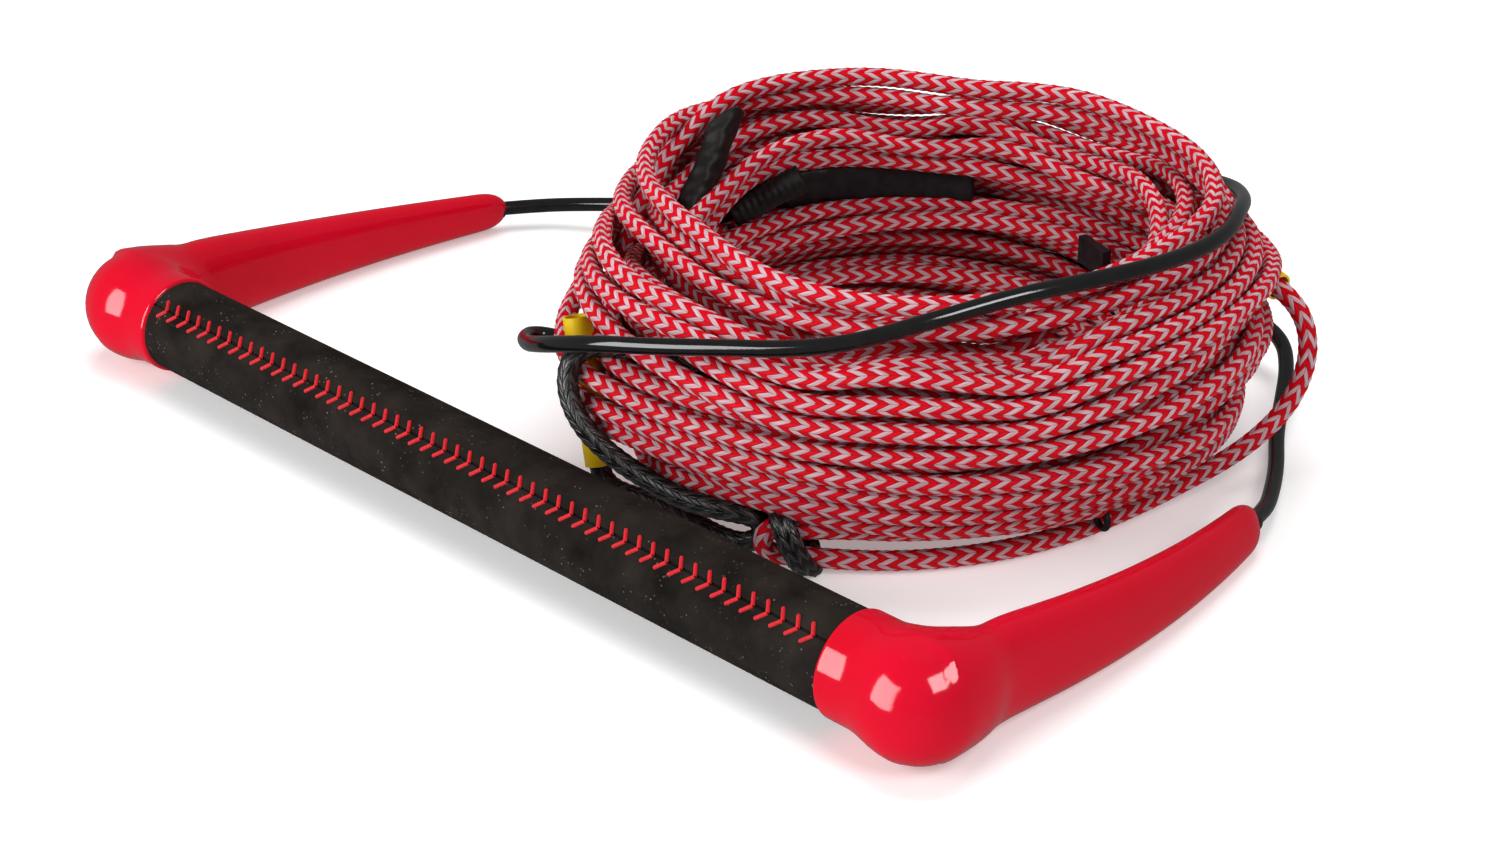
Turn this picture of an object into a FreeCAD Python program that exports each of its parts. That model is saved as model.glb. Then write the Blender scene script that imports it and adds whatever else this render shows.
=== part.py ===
import FreeCAD, Part
import math
import os
import Sketcher

# A 15 inch tow rope handle: a straight grip between two moulded arms, its coated
# bridle line, and the braided main line coiled behind it.
# Frame: X along the grip, Y the way the arms point, Z up. The floor is z = 0 and
# the origin lies under the middle of the handle's own box.

doc = FreeCAD.newDocument("tow_rope_handle")

# ---------------------------------------------------------------- dimensions
DIMENSIONS = [
    ("elbow_x", 172.5, "centre of each elbow from the middle of the grip"),
    ("elbow_radius", 18.0, "ball of the elbow, which also sets the grip's height"),
    ("grip_half", 149.0, "half of the exposed grip"),
    ("grip_hidden", 5.0, "length of grip inside each collar"),
    ("cover_radius", 14.9, "outside of the hide cover"),
    ("core_radius", 13.5, "outside of the foam core"),
    ("tube_radius", 9.5, "outside of the aluminium tube"),
    ("tube_bore", 8.0, "inside of the aluminium tube"),
    ("tube_half", 157.0, "half of the tube's length"),
    ("plug_depth", 22.0, "length of an end plug inside the tube"),
    ("plug_flange", 2.5, "thickness of an end plug's flange"),
    ("flange_radius", 11.0, "radius of an end plug's flange"),
    ("collar_radius", 15.9, "collar of an arm round the grip"),
    ("neck_radius", 15.3, "pinched neck between collar and elbow"),
    ("line_radius", 2.5, "coated bridle line"),
    ("liner_radius", 3.4, "outside of the liner tube in an arm"),
    ("liner_bore", 2.7, "inside of the liner tube"),
    ("arm_end", 153.5, "tip of an arm along Y"),
    ("seam_width", 0.8, "seam groove of the cover"),
    ("seam_depth", 0.5, "depth of the seam groove"),
    ("seam_angle", 42.0, "seam's place, turned from the top towards the front"),
    ("stitch_radius", 0.6, "thread of the stitching"),
    ("stitch_pitch", 5.5, "spacing of the stitches"),
    ("rope_radius", 3.1, "red and grey braided main line"),
    ("lead_radius", 3.3, "black braided lead rope"),
    ("coil_x", 45.0, "middle of the coil"),
    ("coil_y", 138.0, "middle of the coil"),
    ("tag_radius", 4.4, "outside of a yellow sleeve"),
    ("tag_bore", 3.7, "inside of a yellow sleeve"),
    ("tag_left_length", 46.0, "left yellow sleeve"),
    ("tag_right_length", 12.0, "right yellow sleeve"),
    ("sleeve_radius", 4.6, "foam sleeve over a loop"),
    ("keeper_inner", 75.5, "inside of the strap, from the coil's middle"),
    ("keeper_outer", 78.5, "outside of the strap"),
    ("keeper_low", 45.5, "lower edge of the strap"),
    ("keeper_high", 58.5, "upper edge of the strap"),
    ("keeper_turn", 55.0, "degrees of the far wall that the strap covers"),
]
sheet = doc.addObject("Spreadsheet::Sheet", "Sheet")
for row, (alias, value, meaning) in enumerate(DIMENSIONS, start=1):
    sheet.set(f"A{row}", alias)
    sheet.set(f"B{row}", str(value))
    sheet.set(f"C{row}", meaning)
    sheet.setAlias(f"B{row}", alias)
doc.recompute()
D = {alias: value for alias, value, _ in DIMENSIONS}

V = FreeCAD.Vector
AXIS_X = V(1, 0, 0)
SIDES = (("left", -1), ("right", 1))
parts = []


def keep(obj, label):
    """Marks a document object as the sub-part of that name."""
    obj.Label = label
    parts.append((label, obj))
    return obj


def turn_to(direction):
    """The rotation that takes Z to a direction."""
    return FreeCAD.Rotation(V(0, 0, 1), direction)


# ---------------------------------------------------------------- building blocks
def origin_plane(body, role):
    return [f for f in body.Origin.OriginFeatures if f.Role == role][0]


def sketch_circles(body, name, aliases):
    """Concentric circles in the YZ plane, their radii bound to the sheet."""
    sketch = body.newObject("Sketcher::SketchObject", name)
    sketch.AttachmentSupport = [(origin_plane(body, "YZ_Plane"), "")]
    sketch.MapMode = "FlatFace"
    for index, alias in enumerate(aliases):
        sketch.addGeometry(Part.Circle(V(0, 0, 0), V(0, 0, 1), D[alias]))
        sketch.addConstraint(Sketcher.Constraint("Coincident", index, 3, -1, 1))
        number = sketch.addConstraint(Sketcher.Constraint("Radius", index, D[alias]))
        sketch.setExpression(f"Constraints[{number}]", f"Sheet.{alias}")
    return sketch


def tube_body(name, outer, bore, length):
    """A tube about the grip's axis, centred on the middle of the grip."""
    body = doc.addObject("PartDesign::Body", name)
    pad = body.newObject("PartDesign::Pad", f"{name}_pad")
    pad.Profile = sketch_circles(body, f"{name}_section", (outer, bore))
    pad.Midplane = True
    pad.setExpression("Length", length)
    body.setExpression("Placement.Base.z", "Sheet.elbow_radius")
    return body


def cylinder(name, radius, height, place):
    """A cylinder; radius and height are expressions, place its Placement."""
    made = doc.addObject("Part::Cylinder", name)
    made.setExpression("Radius", radius)
    made.setExpression("Height", height)
    made.Placement = place
    return made


def boolean(kind, name, base, tool):
    made = doc.addObject(f"Part::{kind}", name)
    made.Base = base
    made.Tool = tool
    return made


def route_wire(points):
    """Straight runs joined by tangent arcs; returns the wire and its smallest radius."""
    points = [V(*p) for p in points]
    edges = []
    start = points[0]
    radii = []
    for before, corner, after in zip(points, points[1:], points[2:]):
        run_in = corner - before
        run_out = after - corner
        turn = run_in.getAngle(run_out)
        shorter = min(run_in.Length, run_out.Length)
        cut = 0.45 * shorter
        radii.append(cut / math.tan(turn / 2))
        unit_in = V(run_in).normalize()
        unit_out = V(run_out).normalize()
        first = corner - unit_in * cut
        last = corner + unit_out * cut
        bisector = (unit_out - unit_in).normalize()
        radius = radii[-1]
        middle = corner + bisector * (radius / math.cos(turn / 2) - radius)
        edges.append(Part.LineSegment(start, first).toShape())
        edges.append(Part.Arc(first, middle, last).toShape())
        start = last
    edges.append(Part.LineSegment(start, points[-1]).toShape())
    return Part.Wire(edges), min(radii)


def rope_tube(name, points, radius, bore=None):
    """A tube along a route, its section bound to the sheet; prints length and tightest bend."""
    wire, tightest = route_wire(points)
    spine = doc.addObject("Part::Feature", f"{name}_route")
    spine.Shape = wire
    swept = []
    for part_name, alias in ((f"{name}_outside", radius), (f"{name}_inside", bore)):
        if alias is None:
            continue
        section = doc.addObject("Part::Circle", f"{part_name}_section")
        section.setExpression("Radius", f"Sheet.{alias}")
        heading = V(*points[1]) - V(*points[0])
        section.Placement = FreeCAD.Placement(V(*points[0]), turn_to(heading))
        sweep = doc.addObject("Part::Sweep", part_name)
        sweep.Sections = [section]
        sweep.Spine = (spine, [f"Edge{i + 1}" for i in range(len(wire.Edges))])
        sweep.Solid = True
        sweep.Frenet = False
        swept.append(sweep)
    if bore is not None:
        swept = [boolean("Cut", f"{name}_tube", swept[0], swept[1])]
    print(f"{name}: length {wire.Length:.0f}, smallest radius {tightest:.1f}")
    return swept[0], wire


def mirrored(name, source):
    """The same shape on the other side of the middle plane."""
    made = doc.addObject("Part::Mirroring", name)
    made.Source = source
    made.Normal = AXIS_X
    return made


# ---------------------------------------------------------------- bar and grip
AXIS_Z = D["elbow_radius"]
FLATS_LENGTH = 48.0


def make_bar():
    keep(tube_body("bar_tube", "tube_radius", "tube_bore", "2 * Sheet.tube_half"), "bar_tube")
    core_length = "2 * (Sheet.grip_half + Sheet.grip_hidden)"
    keep(tube_body("grip_core", "core_radius", "tube_radius", core_length), "grip_core")
    fill_length = "2 * (Sheet.tube_half - Sheet.plug_depth)"
    keep(tube_body("bar_foam_fill", "tube_bore", "liner_bore", fill_length), "bar_foam_fill")


def make_plug(side, sign):
    """A stem inside the tube and a flange on its end, bored for the line."""
    out = FreeCAD.Rotation(V(0, 0, 1), V(sign, 0, 0))
    stem = cylinder(f"plug_{side}_stem", "Sheet.tube_bore", "Sheet.plug_depth",
                    FreeCAD.Placement(V(0, 0, AXIS_Z), out))
    stem.setExpression("Placement.Base.x", f"{sign} * (Sheet.tube_half - Sheet.plug_depth)")
    flange = cylinder(f"plug_{side}_flange", "Sheet.flange_radius", "Sheet.plug_flange",
                      FreeCAD.Placement(V(0, 0, AXIS_Z), out))
    flange.setExpression("Placement.Base.x", f"{sign} * Sheet.tube_half")
    whole = boolean("Fuse", f"plug_{side}_whole", stem, flange)
    bore = cylinder(f"plug_{side}_bore", "Sheet.liner_bore", "Sheet.plug_depth + Sheet.plug_flange",
                    FreeCAD.Placement(V(0, 0, AXIS_Z), out))
    bore.setExpression("Placement.Base.x", f"{sign} * (Sheet.tube_half - Sheet.plug_depth)")
    bored = boolean("Cut", f"plug_{side}_bored", whole, bore)
    # Two flats on the flange lock the bar against turning in the arm.
    flat = doc.addObject("Part::Box", f"plug_{side}_flats")
    flat.Length = FLATS_LENGTH
    flat.setExpression("Width", "2 * Sheet.flange_radius")
    flat.setExpression("Height", "1.7 * Sheet.flange_radius")
    flat.Placement = FreeCAD.Placement(V(0, 0, 0), FreeCAD.Rotation())
    flat.setExpression("Placement.Base.x", f"{sign} * Sheet.tube_half - {FLATS_LENGTH / 2}")
    flat.setExpression("Placement.Base.y", "-Sheet.flange_radius")
    flat.setExpression("Placement.Base.z", "Sheet.elbow_radius - 0.85 * Sheet.flange_radius")
    return keep(boolean("Common", f"end_plug_{side}", bored, flat), f"end_plug_{side}")


def make_cover():
    """The hide cover: a thin tube with a shallow groove along its butt seam."""
    length = "2 * (Sheet.grip_half + Sheet.grip_hidden)"
    cover = tube_body("cover_tube", "cover_radius", "core_radius", length)
    groove = doc.addObject("Part::Box", "seam_groove")
    groove.setExpression("Length", length)
    groove.setExpression("Width", "Sheet.seam_width")
    groove.setExpression("Height", "2 * Sheet.seam_depth")
    angle = math.radians(D["seam_angle"])
    out = V(0, -math.sin(angle), math.cos(angle))
    across = V(0, math.cos(angle), math.sin(angle))
    corner = out * (D["cover_radius"] - D["seam_depth"]) - across * (D["seam_width"] / 2)
    start = V(-D["grip_half"] - D["grip_hidden"], 0, AXIS_Z) + corner
    groove.Placement = FreeCAD.Placement(start, FreeCAD.Rotation(AXIS_X, D["seam_angle"]))
    return keep(boolean("Cut", "grip_cover", cover, groove), "grip_cover")


def make_stitching():
    """V stitches: each a short upper and a longer lower leg that meet at a point."""
    angle = math.radians(D["seam_angle"])
    count = int((2 * D["grip_half"] - 3) / D["stitch_pitch"])
    legs = []

    def on_cover(x, across):
        turned = angle + across / D["cover_radius"]
        lift = D["cover_radius"] + 0.15
        return V(x, -math.sin(turned) * lift, AXIS_Z + math.cos(turned) * lift)

    for number in range(count):
        x = (number - (count - 1) / 2) * D["stitch_pitch"]
        point = on_cover(x + 1.3, 0.4)
        for end in (on_cover(x - 0.7, -2.6), on_cover(x - 1.5, 3.0)):
            leg = point - end
            thread = Part.makeCylinder(D["stitch_radius"], leg.Length, end, leg)
            legs.append(thread.fuse(Part.makeSphere(D["stitch_radius"], end)))
    stitches = []
    for upper, lower in zip(legs[::2], legs[1::2]):
        stitches.append(upper.fuse(lower))
    made = doc.addObject("Part::Feature", "grip_stitching")
    made.Shape = Part.makeCompound([s for joined in stitches for s in joined.Solids])
    return keep(made, "grip_stitching")


# ---------------------------------------------------------------- arms
# Stations along an arm: the fraction of its reach in Y and how much the rounded
# tip has drawn the section in.
ARM_REACH = 160.0
ARM_STATIONS = ((0.045, 1.0), (0.2, 1.0), (0.4, 1.0), (0.6, 1.0), (0.8, 1.0),
                (0.9, 1.0), (0.935, 0.93), (0.95, 0.78), (0.959, 0.55))
SQUARENESS = 2.3
OUTLINE_POINTS = 20


def arm_centre(f):
    """The middle of the right arm's section: it bows outwards, then comes back in."""
    x = D["elbow_x"] + 26.0 * f - 32.6 * f * f
    z = 18.9 - 17.0 * f + 5.4 * f * f
    return V(x, ARM_REACH * f, z)


def arm_size(f):
    """Half height and half width of a section, and its lean towards the middle."""
    half_height = (34.4 - 23.4 * f + 2.3 * f * f) / 2
    half_width = (18.3 - 9.6 * f) / 2
    lean = -5.0 + 23.5 * f
    return half_height, half_width, lean


def rounded(value):
    """One coordinate of the section's squarish ellipse, from a cosine or a sine."""
    return math.copysign(abs(value) ** (2 / SQUARENESS), value)


def arm_section(name, f, shrink):
    """A squarish ellipse across the arm, leaning towards the middle plane."""
    half_height, half_width, lean = arm_size(f)
    tilt = math.radians(lean)
    corners = []
    for number in range(OUTLINE_POINTS):
        turn = 2 * math.pi * (number + 0.5) / OUTLINE_POINTS
        across = half_width * shrink * rounded(math.cos(turn))
        up = half_height * shrink * rounded(math.sin(turn))
        leaned = V(across * math.cos(tilt) - up * math.sin(tilt), 0,
                   across * math.sin(tilt) + up * math.cos(tilt))
        corners.append(arm_centre(f) + leaned)
    curve = Part.BSplineCurve()
    curve.interpolate(corners, PeriodicFlag=True)
    section = doc.addObject("Part::Feature", name)
    section.Shape = Part.Wire(curve.toShape())
    return section


def arm_route():
    """The line inside the right arm, from the bar's end to the tip."""
    tip = arm_centre(D["arm_end"] / ARM_REACH)
    route = [V(D["tube_half"] - D["plug_depth"], 0, AXIS_Z), V(D["elbow_x"] - 9, 0.3, AXIS_Z)]
    route += [V(D["elbow_x"] + 0.5, 7, AXIS_Z - 0.4)]
    for f in (0.13, 0.28, 0.45, 0.63, 0.8):
        route.append(arm_centre(f))
    route.append(tip)
    return [tuple(p) for p in route]


def make_arm_pair():
    """Collar, neck and ball are turned about the grip's axis; the blade is lofted."""
    outline = [(D["grip_half"], D["cover_radius"] + 0.05), (D["grip_half"], D["collar_radius"] - 0.6),
               (D["grip_half"] + 0.6, D["collar_radius"]), (D["grip_half"] + 8, D["collar_radius"]),
               (D["grip_half"] + 13, D["neck_radius"]), (D["grip_half"] + 18, D["neck_radius"] + 0.8),
               (D["elbow_x"], D["neck_radius"]), (D["elbow_x"], 0), (D["grip_half"], 0)]
    corners = [V(x, 0, AXIS_Z + r) for x, r in outline]
    shank = Part.makePolygon(corners + corners[:1])
    profile = doc.addObject("Part::Feature", "collar_profile")
    profile.Shape = Part.Face(shank)
    collar = doc.addObject("Part::Revolution", "collar")
    collar.Source = profile
    collar.Axis = AXIS_X
    collar.Base = V(0, 0, AXIS_Z)
    collar.Angle = 360
    ball = doc.addObject("Part::Sphere", "elbow_ball")
    ball.setExpression("Radius", "Sheet.elbow_radius")
    ball.Placement.Base = V(D["elbow_x"], 0, AXIS_Z)
    ball.setExpression("Placement.Base.x", "Sheet.elbow_x")
    ball.setExpression("Placement.Base.z", "Sheet.elbow_radius")
    blade = doc.addObject("Part::Loft", "arm_blade")
    blade.Sections = [arm_section(f"arm_section_{i}", f, shrink)
                      for i, (f, shrink) in enumerate(ARM_STATIONS)]
    blade.Solid = True
    solid = doc.addObject("Part::MultiFuse", "arm_solid")
    solid.Shapes = [collar, ball, blade]
    # The socket takes the end of the grip and the plug's flange; the channel the liner.
    socket = cylinder("arm_socket_grip", "Sheet.cover_radius", "2 * Sheet.grip_hidden",
                      FreeCAD.Placement(V(0, 0, AXIS_Z), turn_to(AXIS_X)))
    socket.setExpression("Placement.Base.x", "Sheet.grip_half - Sheet.grip_hidden")
    tube_socket = cylinder("arm_socket_tube", "Sheet.tube_radius", "10",
                           FreeCAD.Placement(V(0, 0, AXIS_Z), turn_to(AXIS_X)))
    tube_socket.setExpression("Placement.Base.x", "Sheet.tube_half - 10")
    route = arm_route()
    beyond = V(*route[-1]) * 2 - V(*route[-2])
    channel, _ = rope_tube("arm_channel", route[:-1] + [tuple(beyond)], "liner_radius")
    hollow = doc.addObject("Part::MultiFuse", "arm_hollow")
    hollow.Shapes = [socket, tube_socket, channel]
    bored = boolean("Cut", "arm_bored", solid, hollow)
    right = boolean("Cut", "arm_right", bored, dict(parts)["end_plug_right"])
    keep(right, "arm_right")
    keep(mirrored("arm_left", right), "arm_left")


def make_liners():
    """Plastic hose between the plug's flange and the arm's tip."""
    route = arm_route()
    start = (D["tube_half"] + D["plug_flange"], 0, AXIS_Z)
    hose, _ = rope_tube("liner_hose", [start] + route[1:], "liner_radius", "liner_bore")
    keep(hose, "liner_right")
    keep(mirrored("liner_left", hose), "liner_left")


def make_inner_line():
    """The bridle line where the handle holds it: tip, arm, bar, arm, tip."""
    right_half = arm_route()[1:]
    left_half = [(-x, y, z) for x, y, z in reversed(right_half)]
    line, _ = rope_tube("inner_line", left_half + right_half, "line_radius")
    keep(line, "bridle_inner_run")


# ---------------------------------------------------------------- bridle line
def arm_tip():
    return arm_centre(D["arm_end"] / ARM_REACH)


TIP = arm_tip()
# Left tip, behind the coil, over its right rim, along its front to the loop end,
# and back inside the far wall to the right tip.
BRIDLE_ROUTE = [
    (-TIP.x, TIP.y, TIP.z), (-160, 165, 7.6), (-148, 175, 8.6), (-126, 188, 11),
    (-98, 201, 14), (-68, 216, 20), (-38, 231, 28), (-8, 244, 38), (26, 254, 48),
    (62, 252, 58), (93, 237, 68), (115, 213, 77), (127, 193, 82.5), (137.5, 173, 84.5),
    (141, 148, 86), (137, 118, 88), (127, 92, 88), (115, 68, 84), (102, 51, 78.5),
    (86.5, 40, 75), (68, 31, 72.5), (50, 23, 69.5), (31, 17.5, 66), (13, 18, 59.5),
    (-1, 23.5, 53), (-10.5, 29, 48.2), (-17, 33.5, 45.5), (-21.3, 37.2, 43.8), (-23.3, 41, 43),
    (-21.6, 45, 42), (-17, 48, 41.2), (-9, 51.5, 40.8), (5, 52.8, 41), (24, 49.5, 41.5),
    (50, 44.5, 41.5), (78, 50, 40), (104, 65, 38), (124, 87, 36), (136, 114, 34),
    (139, 143, 32), (134, 171, 30), (120, 197, 29), (98, 217, 28), (71, 230, 27),
    (42, 233, 26.5), (12, 228, 26), (-14, 213, 25.5), (-34, 191, 25.5), (-46, 164, 25),
    (-49, 135, 24.5), (-43, 106, 24.5), (-29, 80, 24), (-7, 61, 24), (19, 49, 25),
    (48, 46, 26), (76, 52, 26.5), (102, 66, 26.5), (121, 88, 26), (134, 113, 25),
    (139, 141, 22), (136, 168, 19), (126, 192, 17), (112, 209, 16.5), (98, 221, 16.5),
    (86.5, 234, 17), (85, 247.5, 16.5), (96, 255, 15.5), (109, 250.5, 13.5), (118.5, 239.5, 10.5),
    (126.5, 226, 7.2), (136.5, 209, 4.8), (149, 192, 4), (159, 175, 4.6),
    (164.5, 164, 5.8), (TIP.x, TIP.y, TIP.z),
]

# ---------------------------------------------------------------- rope and its pieces
# From inside the coil's front wall to the hitch, round the eye, along the floor,
# up the loose turn on the right and into the coil again.
EYE_ROUTE = [
    (139, 118, 15.5), (133, 102, 15), (121, 84, 14.6), (107, 67, 14.6), (96, 57.6, 14.8),
    (87.5, 50.8, 14.2), (81.4, 46.2, 13.9), (77.2, 43.3, 13.8), (75.2, 41.7, 11.3),
    (75.2, 41.7, 7.7), (77.2, 43.3, 5.1), (81.2, 46.1, 5), (87, 50.6, 4.8), (95.5, 58, 4.2),
    (106.5, 69.5, 3.7), (119, 87, 3.6),
    (129, 110, 3.8), (134, 136, 4.6), (138, 160, 7), (143, 180, 11.5), (146.8, 194.5, 19.5),
    (148.4, 202, 29), (147.4, 206.5, 39), (142.8, 208.6, 48), (134.4, 208.8, 53.6),
    (119.5, 211.6, 56.6), (106, 219.5, 57.5), (91, 228, 56.5), (74, 233.5, 53.5), (54, 233.5, 50),
]
LEAD_ROUTE = [
    (38, 55, 48), (28, 48, 50), (19.4, 41.5, 52), (12.2, 35.6, 53), (8.2, 30.6, 50.8),
    (7.9, 27.3, 44), (11.6, 25.6, 36.5), (17.6, 26.2, 29.5), (25.5, 28.9, 23.3), (35.5, 31.9, 19),
    (47.5, 33.8, 16.5), (57.5, 36.4, 15.9), (64.5, 39.8, 15.6), (69.4, 43.6, 14.6), (71.6, 46.2, 11.2),
    (70.9, 45.5, 7.4), (67.6, 43.5, 4.9), (62.5, 42.2, 3.9), (54.5, 41.6, 3.7), (46, 42.2, 3.8),
    (38, 42.7, 3.9), (31, 42.4, 3.8), (24.5, 41.6, 3.9), (18.5, 40.3, 3.8), (13.2, 39.3, 4.4),
    (8.8, 39.5, 6.7), (6.8, 40.2, 12.9), (5.1, 40.7, 19),
]
TAG_LEFT_FOOT = V(7.8, 39.8, 10)
TAG_LEFT_ALONG = V(-3.1, 1.0, 10.4).normalize()
TAG_RIGHT_ALONG = (V(*EYE_ROUTE[25]) - V(*EYE_ROUTE[24])).normalize()
TAG_RIGHT_MIDDLE = (V(*EYE_ROUTE[25]) + V(*EYE_ROUTE[24])) * 0.5
TAG_RIGHT_START = TAG_RIGHT_MIDDLE - TAG_RIGHT_ALONG * (D["tag_right_length"] / 2)
POCKET_GAP = 0.8


def make_tag(label, start, direction, length):
    """A loose plastic sleeve round the rope."""
    place = FreeCAD.Placement(start, turn_to(direction))
    outside = cylinder(f"{label}_outside", "Sheet.tag_radius", length, place)
    inside = cylinder(f"{label}_inside", "Sheet.tag_bore", length, place)
    return keep(boolean("Cut", label, outside, inside), label)


def profile_face(name, outline):
    """A closed outline in the XZ plane, as (radius, height) pairs."""
    corners = [V(r, 0, z) for r, z in outline]
    curve = Part.BSplineCurve()
    curve.interpolate(corners, PeriodicFlag=True)
    made = doc.addObject("Part::Feature", name)
    made.Shape = Part.Face(Part.Wire(curve.toShape()))
    return made


def ring_solid(name, outline):
    """The coil's outer shape: a basket-like ring about its own middle."""
    ring = doc.addObject("Part::Revolution", name)
    ring.Source = profile_face(f"{name}_profile", outline)
    ring.Axis = V(0, 0, 1)
    ring.Base = V(0, 0, 0)
    ring.Angle = 360
    ring.setExpression("Placement.Base.x", "Sheet.coil_x")
    ring.setExpression("Placement.Base.y", "Sheet.coil_y")
    return ring


def make_coil():
    outline = [(72, 4), (84, 0.6), (94, 4), (104, 16), (111, 32), (112.5, 47), (109, 62),
               (102, 76), (92, 84.5), (82, 80), (74, 66), (69, 45), (68, 22)]
    ring = ring_solid("coil_ring", outline)
    # The wall is hollowed where the two yellow sleeves lie against it.
    pockets = []
    for side, start, along in (("left", TAG_LEFT_FOOT, TAG_LEFT_ALONG),
                               ("right", TAG_RIGHT_START, TAG_RIGHT_ALONG)):
        place = FreeCAD.Placement(start - along * 4, turn_to(along))
        pockets.append(cylinder(f"coil_pocket_{side}", f"Sheet.tag_radius + {POCKET_GAP}",
                                f"Sheet.tag_{side}_length + 8", place))
    pockets = boolean("Fuse", "coil_pockets", *pockets)
    return keep(boolean("Cut", "rope_coil", ring, pockets), "rope_coil")


def make_hitch():
    """Two wraps of the black rope round the red eye, as one oval band."""
    along = V(0.78, 0.62, 0)
    half_height, half_length, half_depth = 9.9, 8.4, 5.6
    band = doc.addObject("Part::Ellipsoid", "hitch_outside")
    band.Radius1 = half_height
    band.Radius2 = half_length
    band.Radius3 = half_depth
    middle = V(85, 48.8, 10.0)
    upright = FreeCAD.Rotation(AXIS_X, V(along).cross(V(0, 0, 1)), V(0, 0, 1), "ZXY")
    band.Placement = FreeCAD.Placement(middle, upright)
    return keep(band, "hitch_knot")


def make_sleeve(label, start, end):
    """A foam sleeve with rounded ends over a loop of the rope."""
    along = V(*end) - V(*start)
    place = FreeCAD.Placement(V(*start), turn_to(along))
    core = cylinder(f"{label}_core", "Sheet.sleeve_radius", f"{along.Length}", place)
    rounding = 0.35 * D["sleeve_radius"]
    rounded = doc.addObject("Part::Fillet", label)
    rounded.Base = core
    rounded.Edges = [(edge, rounding, rounding) for edge in (1, 3)]
    return keep(rounded, label)


def make_keeper():
    """A padded strap that lies against the inside of the far wall."""
    outline = [V(D[f"keeper_{side}"], 0, D[f"keeper_{edge}"])
               for side, edge in (("inner", "low"), ("outer", "low"), ("outer", "high"), ("inner", "high"))]
    section = doc.addObject("Part::Feature", "keeper_section")
    section.Shape = Part.Face(Part.makePolygon(outline + outline[:1]))
    strap = doc.addObject("Part::Revolution", "keeper_strap")
    strap.Source = section
    strap.Axis = V(0, 0, 1)
    strap.Base = V(0, 0, 0)
    strap.setExpression("Angle", "Sheet.keeper_turn")
    first_edge = FreeCAD.Rotation(V(0, 0, 1), 117)
    strap.Placement = FreeCAD.Placement(V(D["coil_x"], D["coil_y"], 0), first_edge)
    return keep(strap, "rope_keeper")


def make_small_pieces():
    tab = doc.addObject("Part::Box", "keeper_tab")
    tab.Length = 15
    tab.Width = 3
    tab.Height = 9
    tab.Placement = FreeCAD.Placement(V(57, 206, 40), FreeCAD.Rotation(V(0, 0, 1), -20))
    keep(tab, "keeper_tab")
    band = doc.addObject("Part::Torus", "whipping_band")
    band.Radius1 = 2.6
    band.Radius2 = 1.1
    band.Placement = FreeCAD.Placement(V(137, 121, 9), turn_to(V(0.25, 1, 0.02)))
    keep(band, "whipping_band")


def build():
    make_bar()
    for side, sign in SIDES:
        make_plug(side, sign)
    make_cover()
    make_stitching()
    doc.recompute()
    make_arm_pair()
    make_liners()
    make_inner_line()
    bridle, _ = rope_tube("bridle", BRIDLE_ROUTE, "line_radius")
    keep(bridle, "bridle_line")
    eye, _ = rope_tube("eye", EYE_ROUTE, "rope_radius")
    keep(eye, "rope_eye_run")
    lead, _ = rope_tube("lead", LEAD_ROUTE, "lead_radius")
    keep(lead, "lead_rope")
    make_coil()
    make_hitch()
    make_tag("section_tag_left", TAG_LEFT_FOOT, TAG_LEFT_ALONG, "Sheet.tag_left_length")
    make_tag("section_tag_right", TAG_RIGHT_START, TAG_RIGHT_ALONG, "Sheet.tag_right_length")
    make_sleeve("loop_sleeve_upper", (-33.1, 135.5, 83.8), (-26.8, 104.8, 47.8))
    make_sleeve("loop_sleeve_inner", (-34.6, 140, 49.2), (-20.6, 157.5, 60.6))
    make_keeper()
    make_small_pieces()


def check_document():
    """Stops when any object failed or any sub-part is empty or not valid."""
    doc.recompute()
    for obj in doc.Objects:
        bad = [s for s in obj.State if s in ("Invalid", "Error")]
        if bad:
            raise RuntimeError(f"{obj.Name} is {bad}")
    for label, obj in parts:
        shape = obj.Shape
        if shape.isNull() or not shape.isValid() or not shape.Solids:
            raise RuntimeError(f"{label} has no valid solid")
        box = shape.BoundBox
        print(f"{label}: {len(shape.Solids)} solid(s), {shape.Volume:.0f} mm3, "
              f"x {box.XMin:.1f}..{box.XMax:.1f} y {box.YMin:.1f}..{box.YMax:.1f} "
              f"z {box.ZMin:.1f}..{box.ZMax:.1f}")


def export_parts():
    os.makedirs("parts", exist_ok=True)
    for label, obj in parts:
        obj.Shape.exportStep(f"parts/{label}.step")


build()
check_document()
export_parts()
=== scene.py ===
"""Final look of the tow rope handle: soft parts, cords, materials, light and camera."""

import math

import bpy
import numpy as np
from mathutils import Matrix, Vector


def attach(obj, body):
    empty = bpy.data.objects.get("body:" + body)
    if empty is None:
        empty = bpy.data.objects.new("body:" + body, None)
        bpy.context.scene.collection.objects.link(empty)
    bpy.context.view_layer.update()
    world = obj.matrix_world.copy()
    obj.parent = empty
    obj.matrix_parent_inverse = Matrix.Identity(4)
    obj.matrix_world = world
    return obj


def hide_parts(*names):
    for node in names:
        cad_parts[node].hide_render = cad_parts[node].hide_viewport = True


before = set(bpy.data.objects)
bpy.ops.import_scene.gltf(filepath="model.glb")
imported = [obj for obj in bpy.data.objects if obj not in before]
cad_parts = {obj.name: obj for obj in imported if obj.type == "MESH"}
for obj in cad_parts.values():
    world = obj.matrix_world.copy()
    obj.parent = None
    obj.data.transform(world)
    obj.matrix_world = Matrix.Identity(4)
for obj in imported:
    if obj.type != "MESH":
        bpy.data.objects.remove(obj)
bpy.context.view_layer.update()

# The object's lengths are millimetres until a piece is made, when MM turns them into metres.
# Bump distances, the floor, the lights and the camera are in metres.
MM = 0.001
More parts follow.
